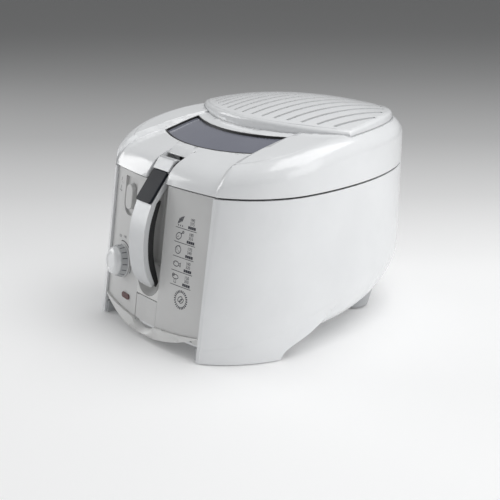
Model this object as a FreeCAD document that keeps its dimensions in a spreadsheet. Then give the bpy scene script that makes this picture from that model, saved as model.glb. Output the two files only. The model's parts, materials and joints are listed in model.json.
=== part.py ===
import FreeCAD, Part
import math
import os
from FreeCAD import Placement, Rotation, Vector

# Deep fryer with a hinged lid, a folding basket handle and a front oil drain.
# Frame: +Z up, the front faces -Y, the origin lies on the floor under the middle.

DIMENSIONS = [
    # plan of the housing
    ("width", "282"),
    ("rear_y", "166"),
    ("side_y", "-47"),
    ("front_y", "-137"),
    ("front_half", "93"),
    ("front_sag", "9.2"),
    ("front_slope", "0.15"),
    ("side_power", "2.24"),
    ("rear_power", "2.06"),
    ("floor_z", "14"),
    ("rim_z", "166"),
    ("lid_gap", "2"),
    ("wall", "2.5"),
    ("heel_radius", "64"),
    ("toe_radius", "3"),
    # front openings and panels
    ("opening_half", "88.6"),
    ("panel_depth", "3"),
    ("panel_wall", "3"),
    ("channel_half", "19.6"),
    ("channel_depth", "24"),
    ("channel_wall", "2.4"),
    ("scoop_radius", "23"),
    ("scoop_lead", "7"),
    ("scoop_z", "69"),
    ("door_top_z", "44.2"),
    ("door_bottom_z", "18.2"),
    ("door_clear", "0.3"),
    ("leaf_clear", "0.8"),
    ("head_clear", "1"),
    ("door_pin_radius", "0.8"),
    # feet
    ("skirt_end_y", "-91"),
    ("skirt_z", "1.2"),
    ("skirt_depth", "9"),
    ("heel_foot_x", "64"),
    ("heel_foot_y", "72"),
    ("heel_foot_radius", "14"),
    ("pad_radius", "10"),
    ("pad_height", "3"),
    ("toe_pad_x", "108"),
    ("toe_pad_y", "-118"),
    ("toe_foot_half", "84"),
    ("base_half_x", "42"),
    ("base_half_y", "84"),
    ("base_thick", "3"),
    # frying bowl and basket
    ("deck_z", "156"),
    ("deck_thick", "3"),
    ("bowl_radius", "99.6"),
    ("bowl_foot_radius", "93"),
    ("bowl_floor_z", "62"),
    ("bowl_wall", "1.5"),
    ("flange_radius", "106"),
    ("basket_radius", "86"),
    ("basket_foot_radius", "82"),
    ("basket_floor_z", "70"),
    ("basket_top_z", "148"),
    ("basket_wall", "1.4"),
    ("heater_inner", "52"),
    ("heater_outer", "74"),
    ("heater_thick", "8"),
    # lid
    ("shoulder_radius", "20"),
    ("band_drop", "5"),
    ("band_step", "2"),
    ("band_rise", "3.5"),
    ("band_half_front", "98"),
    ("band_half_rear", "80.5"),
    ("inner_drop", "11"),
    ("notch_half", "18"),
    ("notch_rear_y", "-108"),
    ("liner_z", "190"),
    ("liner_thick", "1.5"),
    ("window_half", "79"),
    ("window_front_y", "-80.5"),
    ("window_rear_y", "-34.5"),
    ("window_bow", "18"),
    ("window_lip", "1.6"),
    ("glass_thick", "3"),
    ("glass_sink", "2.2"),
    ("cover_inset", "12"),
    ("cover_corner_y", "7"),
    ("cover_front_y", "-37.5"),
    ("cover_seat_z", "209"),
    ("cover_top_z", "232.5"),
    ("cover_middle_y", "48"),
    ("cover_dome", "350"),
    ("cover_barrel", "680"),
    ("cover_round", "3.5"),
    ("cover_wall", "2.5"),
    ("cover_clear", "0.5"),
    ("cover_ledge", "6"),
    ("slot_count", "14"),
    ("slot_width", "4"),
    ("slot_pitch", "16"),
    # hinge of the lid
    ("hinge_y", "171.8"),
    ("hinge_z", "167"),
    ("barrel_radius", "5"),
    ("hinge_pin_radius", "2"),
    ("lug_half", "11.6"),
    ("bracket_half", "24"),
    # handle
    ("pivot_y", "-126"),
    ("pivot_z", "180"),
    ("pivot_pin_radius", "2.5"),
    ("handle_half", "14"),
    ("handle_skin", "6"),
    ("tip_round", "10"),
    ("cheek_thick", "3"),
    ("cheek_clear", "0.3"),
    ("slider_half", "13.4"),
    ("slider_length", "37"),
    ("slider_thick", "2.6"),
    ("slider_travel", "5"),
    ("slider_round", "3"),
    # controls
    ("knob_x", "-58"),
    ("knob_z", "68.4"),
    ("knob_skirt_radius", "18.4"),
    ("knob_cap_radius", "15.8"),
    ("knob_height", "14.6"),
    ("knob_dish_radius", "8.2"),
    ("knob_band_z", "1.4"),
    ("knob_band_height", "6.6"),
    ("shaft_radius", "3"),
    ("shaft_clear", "0.05"),
    ("button_x", "-52"),
    ("button_z", "140"),
    ("button_half_x", "7.5"),
    ("button_half_z", "13.5"),
    ("recess_half_x", "14"),
    ("recess_half_z", "20.5"),
    ("button_clear", "0.35"),
    ("pilot_x", "-42"),
    ("pilot_z", "34"),
    ("pilot_half_x", "8.2"),
    ("pilot_half_z", "3"),
    # oil drain
    ("spout_z", "74"),
    ("spout_radius", "6"),
    ("spout_bore", "4"),
    ("hose_radius", "7.5"),
    ("hose_drop_y", "-122"),
    ("hose_low_z", "31"),
    ("hose_end_y", "-152"),
    ("hose_bend", "11"),
    # power inlet
    ("inlet_z", "92"),
    ("inlet_radius", "6"),
]

FRONT_SPANS = 6
REAR_SPANS = 9
ROUND_STEPS = (0, 15, 30, 45, 60, 75, 90)

doc = FreeCAD.newDocument("deep_fryer")
sheet = doc.addObject("Spreadsheet::Sheet", "Dims")
for row, (alias, value) in enumerate(DIMENSIONS, 1):
    sheet.set("A%d" % row, alias)
    sheet.set("B%d" % row, value)
    sheet.setAlias("B%d" % row, alias)
doc.recompute()

nodes = []


def dim(alias):
    return float(sheet.get(alias))


def node(label, shape):
    """A named piece with a shape made by Part functions."""
    feature = doc.addObject("Part::Feature", label)
    feature.Label = label
    feature.Shape = shape
    feature.Placement = Placement()
    nodes.append(feature)
    return feature


def bound(kind, name, sizes, base, turn=Rotation()):
    """A primitive whose sizes and place are expressions of the sheet."""
    piece = doc.addObject(kind, name)
    piece.Label = name
    piece.Placement = Placement(Vector(), turn)
    for prop, text in sizes.items():
        piece.setExpression(prop, text)
    for axis, text in zip("xyz", base):
        piece.setExpression("Placement.Base." + axis, text)
    return piece


def group(kind, name, members):
    """A boolean or a compound of document objects."""
    result = doc.addObject(kind, name)
    result.Label = name
    if kind == "Part::Cut":
        result.Base, result.Tool = members
    elif kind == "Part::Compound":
        result.Links = members
    else:
        result.Shapes = members
    return result


def keep(piece):
    nodes.append(piece)
    return piece


ALONG_X = Rotation(Vector(0, 1, 0), 90)

# Plan of the housing: an arched front, two bulging sides and a round rear.

half_width = dim("width") / 2
rear_y = dim("rear_y")
side_y = dim("side_y")
sag = dim("front_sag")
front_half = dim("front_half")
rim_z = dim("rim_z")
floor_z = dim("floor_z")
wall = dim("wall")
lid_z = rim_z + dim("lid_gap")
arch_radius = (front_half ** 2 + sag ** 2) / (2 * sag)
arch_y = dim("front_y") - sag + arch_radius


def corner_y(z):
    return dim("front_y") - dim("front_slope") * (rim_z - z)


def front_at(x, z):
    """Y of the arched front at a given width and height."""
    return corner_y(z) - sag * (1 - (x / front_half) ** 2)


def side_point(s, z, inset):
    """Right half of the plan: s runs from -1 (front corner) over 0 to 1 (rear)."""
    half = half_width - inset
    if s < 0:
        power = dim("side_power")
        corner_x = front_half - 0.75 * inset
        reach = side_y - corner_y(z) - inset
        reach /= (1 - (corner_x / half) ** power) ** (1 / power)
        turn = -s * math.acos((corner_x / half) ** (power / 2))
        x = half * math.cos(turn) ** (2 / power)
        return Vector(x, side_y - reach * math.sin(turn) ** (2 / power), z)
    power = dim("rear_power")
    turn = s * math.pi / 2
    x = half * max(math.cos(turn), 0) ** (2 / power) if s < 1 else 0
    return Vector(x, side_y + (rear_y - inset - side_y) * math.sin(turn) ** (2 / power), z)


SPAN = [-1 + i / FRONT_SPANS for i in range(FRONT_SPANS)]
SPAN += [i / REAR_SPANS for i in range(REAR_SPANS + 1)]


def mirrored_wire(points, middle):
    """Closed wire: front arc, and one curve through the right points and their mirror images."""
    flipped = [Vector(-p.x, p.y, p.z) for p in reversed(points)]
    side = Part.BSplineCurve()
    side.interpolate(points + flipped[1:])
    front = Part.Arc(flipped[-1], middle, points[0])
    return Part.Wire([front.toShape(), side.toShape()])


def ring(level):
    """Plan outline whose inset and height vary along the side."""
    points = [side_point(s, level(s)[1], level(s)[0]) for s in SPAN]
    inset, z = level(-1)
    return mirrored_wire(points, Vector(0, corner_y(z) + inset - sag, z))


def skin(groups):
    """Closed solid from stacks of outlines: pairs are ruled, longer stacks smooth."""
    faces = [Part.Face(groups[0][0]), Part.Face(groups[-1][-1])]
    for stack in groups:
        faces += Part.makeLoft(stack, False, len(stack) == 2).Faces
    shell = Part.makeShell(faces)
    shell.sewShape()
    solid = Part.makeSolid(shell)
    if solid.Volume < 0:
        solid.reverse()
    return solid


def plan_block(z0, z1, inset):
    low = ring(lambda s: (inset, z0))
    high = ring(lambda s: (inset, z1))
    return skin([[low, high]])


def box(x0, x1, y0, y1, z0, z1):
    return Part.makeBox(x1 - x0, y1 - y0, z1 - z0, Vector(x0, y0, z0))


def rod(start, end, radius):
    along = end - start
    return Part.makeCylinder(radius, along.Length, start, along)


def prism_x(points, x0, x1):
    """Prism along X over a polygon of (y, z) points."""
    loop = [Vector(x0, y, z) for y, z in points]
    face = Part.Face(Part.makePolygon(loop + loop[:1]))
    return face.extrude(Vector(x1 - x0, 0, 0))


def wire_prism(edges, along):
    return Part.Face(Part.Wire(edges)).extrude(along)


def front_slab(depth0, depth1, half, z0, z1):
    """Part of the arched, leaning front between two depths behind its face."""
    wires = []
    for z in (z0, z1):
        side = front_at(half, z)
        middle = front_at(0, z)
        near = [Vector(-half, side + depth0, z), Vector(0, middle + depth0, z), Vector(half, side + depth0, z)]
        far = [Vector(p.x, p.y + depth1 - depth0, z) for p in near]
        edges = [
            Part.Arc(near[0], near[1], near[2]).toShape(),
            Part.makeLine(near[2], far[2]),
            Part.Arc(far[2], far[1], far[0]).toShape(),
            Part.makeLine(far[0], near[0]),
        ]
        wires.append(Part.Wire(edges))
    return Part.makeLoft(wires, True, True)


def revolved(profile, centre, radius_turn):
    """Solid of revolution about a vertical axis over (radius, z) points."""
    loop = [Vector(centre.x + r, centre.y, z) for r, z in profile]
    face = Part.Face(Part.makePolygon(loop + loop[:1]))
    return face.revolve(centre, Vector(0, 0, 1), radius_turn)


# Housing.


def heel(s):
    """Radius of the bottom edge: small at the front corners, large at the rear."""
    share = min(1, (s + 1) / 1.5) ** 1.76
    return dim("toe_radius") + (dim("heel_radius") - dim("toe_radius")) * share


def housing(inset, top_z):
    def level(angle):
        turn = math.radians(angle)

        def at(s):
            radius = max(heel(s) - inset, 0.4)
            return inset + radius * (1 - math.sin(turn)), floor_z + inset + radius * (1 - math.cos(turn))

        return at

    low = [ring(level(angle)) for angle in ROUND_STEPS]
    return skin([low, [low[-1], ring(lambda s: (inset, top_z))]])


outside = housing(0, rim_z)
inside = housing(wall, rim_z + 1)

skirt_z = dim("skirt_z")
skirt_end = dim("skirt_end_y")
skirt_top = floor_z + 33
leg = [(0, skirt_z), (4.5, 8), (14, 14), (29, 20), (47, 29), (62, 38), (74, skirt_top)]
leg_curve = Part.BSplineCurve()
leg_curve.interpolate([Vector(-200, skirt_end + along, z) for along, z in leg])
leg_end = Vector(-200, skirt_end + leg[-1][0], skirt_top)
skirt_edges = [
    Part.makeLine(Vector(-200, -220, skirt_z), Vector(-200, skirt_end, skirt_z)),
    leg_curve.toShape(),
    Part.makeLine(leg_end, Vector(-200, -220, skirt_top)),
    Part.makeLine(Vector(-200, -220, skirt_top), Vector(-200, -220, skirt_z)),
]
skirt_side = wire_prism(skirt_edges, Vector(400, 0, 0))
skirt_inset = 0.3
skirt = plan_block(skirt_z, skirt_top, skirt_inset)
skirt = skirt.cut(plan_block(skirt_z - 1, floor_z, skirt_inset + wall))
skirt = skirt.cut(plan_block(floor_z - 1, skirt_top + 1, skirt_inset + dim("skirt_depth")))
skirt = skirt.common(skirt_side).cut(inside)

opening_half = dim("opening_half")
panel_depth = dim("panel_depth")
panel_back = panel_depth + dim("panel_wall")
front_cut = front_slab(-6, panel_back, opening_half, -2, rim_z + 2)
base_x = dim("base_half_x")
base_y = dim("base_half_y")
base_hole = box(-base_x, base_x, -base_y, base_y, 0, floor_z + wall + 1)
inlet_bore = rod(
    Vector(0, rear_y - 20, dim("inlet_z")),
    Vector(0, rear_y + 20, dim("inlet_z")),
    dim("inlet_radius"),
)
outer_shell = outside.cut(inside).fuse(skirt).cut(front_cut).cut(base_hole).cut(inlet_bore)
node("outer_shell", outer_shell)

gland = rod(Vector(0, rear_y - 10, dim("inlet_z")), Vector(0, rear_y + 0.1, dim("inlet_z")), dim("inlet_radius"))
gland = gland.fuse(
    rod(
        Vector(0, rear_y + 0.1, dim("inlet_z")),
        Vector(0, rear_y + 3.5, dim("inlet_z")),
        dim("inlet_radius") + 3,
    )
)
gland = gland.cut(
    rod(Vector(0, rear_y - 11, dim("inlet_z")), Vector(0, rear_y + 4, dim("inlet_z")), dim("inlet_radius") - 2.5)
)
node("inlet_gland", gland)

# Base plate, foot blocks, pads and screws.

plate = bound(
    "Part::Box",
    "base_plate",
    {
        "Length": "2 * Dims.base_half_x + 14",
        "Width": "2 * Dims.base_half_y + 14",
        "Height": "Dims.base_thick",
    },
    ("-Dims.base_half_x - 7", "-Dims.base_half_y - 7", "Dims.floor_z - Dims.base_thick"),
)
keep(plate)

toe_block = plan_block(dim("pad_height") / 2, floor_z, skirt_inset + wall)
toe_half = dim("toe_foot_half")
toe_block = toe_block.cut(box(-toe_half, toe_half, -250, 250, -1, floor_z + 1))
toe_block = toe_block.cut(box(-200, 200, skirt_end, 250, -1, floor_z + 1))
heel_spots = [Vector(side * dim("heel_foot_x"), dim("heel_foot_y"), dim("pad_height")) for side in (-1, 1)]
foot_blocks = list(toe_block.Solids)
for spot in heel_spots:
    block = Part.makeCone(dim("heel_foot_radius") - 2, dim("heel_foot_radius"), floor_z + 22, spot)
    block = block.cut(outside)
    foot_blocks.append(block.Solids[0])
node("foot_blocks", Part.makeCompound(foot_blocks))

pads = []
for index, (pad_x, pad_y, pad_top) in enumerate(
    [
        ("-Dims.heel_foot_x", "Dims.heel_foot_y", "Dims.pad_height"),
        ("Dims.heel_foot_x", "Dims.heel_foot_y", "Dims.pad_height"),
        ("-Dims.toe_pad_x", "Dims.toe_pad_y", "Dims.pad_height / 2"),
        ("Dims.toe_pad_x", "Dims.toe_pad_y", "Dims.pad_height / 2"),
    ]
):
    pad = bound(
        "Part::Cylinder",
        "pad_%d" % index,
        {"Radius": "Dims.pad_radius", "Height": pad_top},
        (pad_x, pad_y, "0"),
    )
    pads.append(pad)
keep(group("Part::Compound", "foot_pads", pads))

screws = []
for index, (sx, sy) in enumerate([(-1, -1), (1, -1), (-1, 1), (1, 1)]):
    screw = bound(
        "Part::Cylinder",
        "base_screw_%d" % index,
        {"Radius": "3.2", "Height": "2"},
        (
            "%d * (Dims.base_half_x - 6)" % sx,
            "%d * (Dims.base_half_y - 6)" % sy,
            "Dims.floor_z - Dims.base_thick - 2",
        ),
    )
    screws.append(screw)
keep(group("Part::Compound", "base_screws", screws))

# Front: two panels, the rim below them, the handle channel and the drain door.


def front_profile(z_side, z_middle, above):
    """Everything above or below an arc across the front, as a prism along Y."""
    far = 400 if above else -100
    edges = [
        Part.Arc(
            Vector(-opening_half, -300, z_side),
            Vector(0, -300, z_middle),
            Vector(opening_half, -300, z_side),
        ).toShape(),
        Part.makeLine(Vector(opening_half, -300, z_side), Vector(opening_half, -300, far)),
        Part.makeLine(Vector(opening_half, -300, far), Vector(-opening_half, -300, far)),
        Part.makeLine(Vector(-opening_half, -300, far), Vector(-opening_half, -300, z_side)),
    ]
    return wire_prism(edges, Vector(0, 300, 0))


def oval_prism(x, z, half_x, half_z, y0, y1):
    """Prism along Y with round ends."""
    radius = min(half_x, half_z)
    core = box(x - half_x, x + half_x, y0, y1, z - half_z, z + half_z)
    edges = [edge for edge in core.Edges if abs(edge.Vertexes[0].Y - edge.Vertexes[-1].Y) > 1]
    return core.makeFillet(radius * 0.98, edges)


seam_side = 25.5
seam_middle = dim("door_bottom_z") - 0.4
channel_half = dim("channel_half")
panels = front_slab(panel_depth, panel_back, opening_half, floor_z - 4, rim_z)
panels = panels.common(front_profile(seam_side, seam_middle, True))
panels = panels.cut(box(-channel_half, channel_half, -300, 0, 0, 300))

knob_x = dim("knob_x")
knob_z = dim("knob_z")
lean = dim("front_slope")
knob_axis = Vector(2 * sag * knob_x / front_half ** 2, -1, lean).normalize()
knob_seat = Vector(knob_x, front_at(knob_x, knob_z) + panel_depth, knob_z)
shaft_bore = rod(knob_seat - knob_axis * 40, knob_seat + knob_axis * 10, dim("shaft_radius") + 0.3)

button_x = dim("button_x")
button_z = dim("button_z")
button_half_x = dim("button_half_x")
button_half_z = dim("button_half_z")
recess_x = dim("recess_half_x")
recess_z = dim("recess_half_z")
recess = oval_prism(button_x, button_z, recess_x, recess_z, -300, 0)
recess = recess.fuse(box(button_x - recess_x, button_x + recess_x, -300, 0, button_z, button_z + recess_z))
pilot = oval_prism(
    dim("pilot_x"), dim("pilot_z"), dim("pilot_half_x"), dim("pilot_half_z"), -300, 0
)
panels = panels.cut(shaft_bore).cut(recess).cut(pilot)
left_panel = [solid for solid in panels.Solids if solid.CenterOfMass.x < 0][0]
right_panel = [solid for solid in panels.Solids if solid.CenterOfMass.x > 0][0]
node("control_panel", left_panel)
node("guide_panel", right_panel)

clear = dim("button_clear")
bezel = front_slab(panel_back, panel_back + 2, opening_half, button_z - 24, button_z + 24)
bezel = bezel.common(box(button_x - 18, button_x + 18, -300, 0, 0, 300))
button_hole = oval_prism(button_x, button_z, button_half_x + clear, button_half_z + clear, -300, 0)
node("button_bezel", bezel.cut(button_hole))

button = front_slab(0.6, panel_back + 9, opening_half, button_z - 20, button_z + 20)
button = button.common(oval_prism(button_x, button_z, button_half_x, button_half_z, -300, 0))
node("lid_button", button)
stem_y = front_at(button_x, button_z) + panel_back + 7
stem = rod(Vector(button_x, stem_y + 3, button_z), Vector(button_x, stem_y + 14, button_z), 4)
stem = stem.cut(button)
node("button_stem", stem)

lens = front_slab(panel_depth - 1.2, panel_back + 2, opening_half, 20, 50).common(pilot)
node("pilot_lens", lens)
lamp_y = front_at(dim("pilot_x"), dim("pilot_z")) + panel_back + 2
lamp = box(
    dim("pilot_x") - 6, dim("pilot_x") + 6, lamp_y - 4, lamp_y + 14, dim("pilot_z") - 5, dim("pilot_z") + 5
)
lamp = lamp.cut(front_slab(-20, panel_back + 2, opening_half, 10, 60))
node("pilot_lamp", lamp)

thermostat = rod(knob_seat - knob_axis * 28, knob_seat, 17)
thermostat = thermostat.cut(front_slab(-20, panel_back, opening_half, knob_z - 40, knob_z + 40))
thermostat = thermostat.cut(
    rod(knob_seat - knob_axis * 24, knob_seat + knob_axis * 10, dim("shaft_radius") + dim("shaft_clear"))
)
node("thermostat", thermostat)

door_top = dim("door_top_z")
door_bottom = dim("door_bottom_z")
door_clear = dim("door_clear")
leaf_axis = Vector(0, lean, 1).normalize()
leaf_clear = dim("leaf_clear")
leaf_round = dim("panel_wall") / 2
hinge_x = -channel_half + door_clear + leaf_round
leaf_depth = panel_depth + leaf_round


def leaf_at(z):
    return Vector(hinge_x, front_at(hinge_x, z) + leaf_depth, z)


def door_pin(z0, z1, radius):
    return rod(leaf_at(z0), leaf_at(z1), radius)


pin_radius = dim("door_pin_radius")
door_pins = [
    door_pin(door_bottom - 5, door_bottom + 4, pin_radius),
    door_pin(door_top - 4, door_top + 5, pin_radius),
]

scoop_z = dim("scoop_z")
scoop = Part.makeSphere(
    dim("scoop_radius"), Vector(0, front_at(0, scoop_z) + panel_depth - dim("scoop_lead"), scoop_z)
)
scoop = scoop.common(box(-channel_half, channel_half, -300, 0, 0, 300))
channel_depth = dim("channel_depth")
channel_wall = dim("channel_wall")
channel_low = door_top + dim("head_clear")
channel_top = dim("deck_z") + dim("deck_thick") + 0.5
channel = front_slab(
    panel_back, channel_depth + channel_wall, channel_half + channel_wall, channel_low, channel_top
)
channel = channel.cut(
    front_slab(panel_back - 1, channel_depth, channel_half, scoop_z + 6, channel_top + 1)
)
channel = channel.fuse(front_slab(panel_depth, panel_back + 1, channel_half, channel_low, scoop_z + 6))
channel = channel.cut(scoop)
for pin in door_pins:
    channel = channel.cut(pin)
node("handle_channel", channel)

rim = front_slab(0.5, panel_back, opening_half, 2, 40)
rim = rim.common(front_profile(24.9, 5, True)).common(front_profile(seam_side - 0.4, seam_middle - 0.4, False))
dish_way = Vector(0, math.cos(math.radians(35)), math.sin(math.radians(35)))
dish_middle = Vector(0, front_at(0, seam_middle), seam_middle + 26)
finger = rod(dish_middle - dish_way * 40, dish_middle + dish_way * 40, 30)
rim = rim.cut(finger)
for pin in door_pins:
    rim = rim.cut(pin)
rim = sorted(rim.Solids, key=lambda solid: solid.Volume)[-1]
node("front_rim", rim)
node("door_pins", Part.makeCompound(door_pins))

door = front_slab(panel_depth, panel_back, channel_half - door_clear, door_bottom, door_top)
door = door.cut(box(-50, hinge_x, -300, 0, 0, 100))
door = door.cut(box(-50, hinge_x + 3, -300, 0, door_top - leaf_clear, 100))
door = door.cut(box(-50, hinge_x + 3, -300, 0, 0, door_bottom + leaf_clear))
leaf = rod(leaf_at(door_bottom - 3), leaf_at(door_top + 3), leaf_round)
leaf = leaf.common(box(-50, 50, -300, 0, door_bottom + leaf_clear, door_top - leaf_clear))
door = door.fuse(leaf).cut(door_pin(door_bottom - 5, door_top + 5, pin_radius + 0.05))
node("drain_door", door)

# Deck, bowl, heater and basket.

deck_z = dim("deck_z")
deck_top = deck_z + dim("deck_thick")
centre = Vector(0, 0, 0)
deck_clear = 0.1
deck = plan_block(deck_z, deck_top, wall + deck_clear)
deck = deck.cut(front_slab(-5, panel_back + deck_clear, front_half + 4, deck_z - 1, deck_top + 1))
deck = deck.cut(
    front_slab(-5, channel_depth + channel_wall, channel_half + channel_wall, deck_z - 1, deck_top + 1)
)
deck = deck.cut(Part.makeCylinder(dim("bowl_radius") + 0.4, 20, Vector(0, 0, deck_z - 5)))
deck = deck.cut(bezel)
node("deck_ring", deck)

bowl_radius = dim("bowl_radius")
bowl_foot = dim("bowl_foot_radius")
bowl_floor = dim("bowl_floor_z")
bowl_wall = dim("bowl_wall")
flange_top = deck_top + bowl_wall
bowl = revolved(
    [
        (0, bowl_floor),
        (bowl_foot, bowl_floor),
        (bowl_radius, deck_top),
        (dim("flange_radius"), deck_top),
        (dim("flange_radius"), flange_top),
        (bowl_radius - bowl_wall, flange_top),
        (bowl_foot - bowl_wall, bowl_floor + bowl_wall),
        (0, bowl_floor + bowl_wall),
    ],
    centre,
    360,
)
spout_z = dim("spout_z")
spout_radius = dim("spout_radius")
spout = rod(Vector(0, -bowl_foot + 3, spout_z), Vector(0, -bowl_foot - 16, spout_z), spout_radius)
spout = spout.cut(
    rod(Vector(0, -bowl_foot + 4, spout_z), Vector(0, -bowl_foot - 18, spout_z), dim("spout_bore"))
)
inner_bowl = revolved(
    [
        (0, bowl_floor + bowl_wall),
        (bowl_foot - bowl_wall, bowl_floor + bowl_wall),
        (bowl_radius - bowl_wall, flange_top),
        (0, flange_top),
    ],
    centre,
    360,
)
spout = spout.cut(inner_bowl)
spout_hole = rod(Vector(0, -bowl_foot + 10, spout_z), Vector(0, -bowl_foot - 16, spout_z), spout_radius)
node("bowl", bowl.cut(spout_hole))
node("drain_spout", spout)

heater_ring = group(
    "Part::Cut",
    "heating_element",
    [
        bound(
            "Part::Cylinder",
            "heater_disc",
            {"Radius": "Dims.heater_outer", "Height": "Dims.heater_thick"},
            ("0", "0", "Dims.bowl_floor_z - Dims.heater_thick"),
        ),
        bound(
            "Part::Cylinder",
            "heater_eye",
            {"Radius": "Dims.heater_inner", "Height": "Dims.heater_thick + 2"},
            ("0", "0", "Dims.bowl_floor_z - Dims.heater_thick - 1"),
        ),
    ],
)
keep(heater_ring)

hose_y = -bowl_foot - 6
drop_y = dim("hose_drop_y")
low_z = dim("hose_low_z")
bend = dim("hose_bend")
diagonal = bend * (1 - math.sqrt(0.5))
hose_edges = [
    Part.makeLine(Vector(0, hose_y, spout_z), Vector(0, drop_y + bend, spout_z)),
    Part.Arc(
        Vector(0, drop_y + bend, spout_z),
        Vector(0, drop_y + diagonal, spout_z - diagonal),
        Vector(0, drop_y, spout_z - bend),
    ).toShape(),
    Part.makeLine(Vector(0, drop_y, spout_z - bend), Vector(0, drop_y, low_z + bend)),
    Part.Arc(
        Vector(0, drop_y, low_z + bend),
        Vector(0, drop_y - diagonal, low_z + diagonal),
        Vector(0, drop_y - bend, low_z),
    ).toShape(),
    Part.makeLine(Vector(0, drop_y - bend, low_z), Vector(0, dim("hose_end_y"), low_z)),
]


def hose(radius):
    path = Part.Wire(hose_edges)
    section = Part.Wire(Part.makeCircle(radius, Vector(0, hose_y, spout_z), Vector(0, 1, 0)))
    return path.makePipeShell([section], True, False)


hose_end = dim("hose_end_y")
node("drain_hose", hose(dim("hose_radius")).cut(hose(spout_radius)))
plug = rod(Vector(0, hose_end, low_z), Vector(0, hose_end - 5.5, low_z), dim("hose_radius") + 1)
plug = plug.fuse(rod(Vector(0, hose_end + 9, low_z), Vector(0, hose_end, low_z), spout_radius))
node("hose_plug", plug)

basket_radius = dim("basket_radius")
basket_foot = dim("basket_foot_radius")
basket_floor = dim("basket_floor_z")
basket_top = dim("basket_top_z")
basket_wall = dim("basket_wall")
basket = revolved(
    [
        (0, basket_floor),
        (basket_foot, basket_floor),
        (basket_radius, basket_top - 2),
        (basket_radius + 2, basket_top - 2),
        (basket_radius + 2, basket_top),
        (basket_radius - basket_wall, basket_top),
        (basket_foot - basket_wall, basket_floor + basket_wall),
        (0, basket_floor + basket_wall),
    ],
    centre,
    360,
)
slots = []
for turn in range(0, 360, 12):
    slot = box(basket_foot - 8, basket_radius + 6, -3, 3, basket_floor + 8, basket_top - 12)
    slot.rotate(centre, Vector(0, 0, 1), turn)
    slots.append(slot)
for index in range(-4, 5):
    reach = math.sqrt((basket_foot - 12) ** 2 - (index * 16) ** 2)
    slots.append(box(index * 16 - 4, index * 16 + 4, -reach, reach, basket_floor - 2, basket_floor + 4))
node("basket", basket.cut(Part.makeCompound(slots)))

rest_z = deck_top + 3
hanger = box(-11, 11, -116, -basket_radius + 2, rest_z, rest_z + 1.5)
hanger = hanger.fuse(box(-11, 11, -basket_radius, -basket_radius + 2, basket_top, rest_z + 1.5))
node("basket_hanger", hanger)

# Handle: bracket and pin on the deck, lever, grip underside and slider.

pivot = Vector(0, dim("pivot_y"), dim("pivot_z"))
handle_half = dim("handle_half")
cheek_in = handle_half + dim("cheek_clear")
cheek_out = cheek_in + dim("cheek_thick")
pin_r = dim("pivot_pin_radius")
cheek = [(-107.5, deck_top), (-118.5, deck_top), (-133, 174), (-133, 184), (-127, 188), (-119, 187), (-107.5, 166)]
bracket = box(-cheek_out, cheek_out, -118.5, -107.5, deck_top, rest_z)
bracket = bracket.fuse(prism_x(cheek, cheek_in, cheek_out)).fuse(prism_x(cheek, -cheek_out, -cheek_in))
pivot_rod = rod(pivot + Vector(-cheek_out, 0, 0), pivot + Vector(cheek_out, 0, 0), pin_r)
node("handle_bracket", bracket.cut(pivot_rod))
pin = bound(
    "Part::Cylinder",
    "handle_pin",
    {
        "Radius": "Dims.pivot_pin_radius",
        "Height": "2 * (Dims.handle_half + Dims.cheek_clear + Dims.cheek_thick)",
    },
    ("-Dims.handle_half - Dims.cheek_clear - Dims.cheek_thick", "Dims.pivot_y", "Dims.pivot_z"),
    ALONG_X,
)
keep(pin)

slide_way = Vector(0, -0.623, -0.7822).normalize()
slide_out = Vector(0, slide_way.z, -slide_way.y)
slide_top = Vector(0, -139.6, 178.2)
slider_length = dim("slider_length")
slider_thick = dim("slider_thick")


def on_slide(along, out):
    point = slide_top + slide_way * along + slide_out * out
    return point.y, point.z


def spline_through(points, x):
    curve = Part.BSplineCurve()
    curve.interpolate([Vector(x, y, z) for y, z in points])
    return curve.toShape()


skin_thick = dim("handle_skin")
seat_out = -slider_thick - 0.3
grip_front = [
    on_slide(slider_length, seat_out),
    (-164.6, 137.5),
    (-168.4, 126.8),
    (-172.0, 105.3),
    (-171.4, 83.3),
    (-166.6, 66.0),
    (-160.0, 56.5),
]
grip_middle = [(y + skin_thick, z) for y, z in grip_front]
grip_middle[-1] = (-157.0, 57.8)
grip_middle[-2] = (-161.0, 67.0)
grip_back = [
    (-147.0, 149.0),
    (-151.5, 137.5),
    (-155.0, 126.0),
    (-158.2, 105.0),
    (-158.2, 87.0),
    (-156.0, 75.0),
    (-153.8, 63.0),
]


def between(first, second, half):
    """Prism along X between two curves of the handle's side view."""
    edges = [spline_through(first, -half), spline_through(second, -half)]
    for end in (0, -1):
        edges.append(Part.makeLine(Vector(-half, *first[end]), Vector(-half, *second[end])))
    loop = Part.Wire(Part.__sortEdges__(edges))
    return Part.Face(loop).extrude(Vector(2 * half, 0, 0))


head = [
    on_slide(-0.4, 0),
    on_slide(-0.4, seat_out),
    on_slide(slider_length, seat_out),
    grip_middle[0],
    (-139.0, 164.5),
    (-128.0, 172.4),
    (-118.6, 177.5),
    (-118.2, 182.5),
    (-121.5, 187.2),
    (-127.0, 189.6),
    (-131.4, 189.0),
]
grip = between(grip_front, grip_middle, handle_half)
tip_edges = [edge for edge in grip.Edges if edge.BoundBox.ZMax < 60 and edge.BoundBox.XLength < 1]
grip = grip.makeFillet(dim("tip_round"), tip_edges)
lever = grip.fuse(prism_x(head, -handle_half, handle_half))
lever = lever.cut(rod(pivot + Vector(-30, 0, 0), pivot + Vector(30, 0, 0), pin_r + dim("shaft_clear")))
travel = dim("slider_travel")
key_start = 9
key_end = 20
key_half = 4


def key_block(start, end, half, low, high):
    corners = [on_slide(start, low), on_slide(end, low), on_slide(end, high), on_slide(start, high)]
    return prism_x(corners, -half, half)


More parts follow.
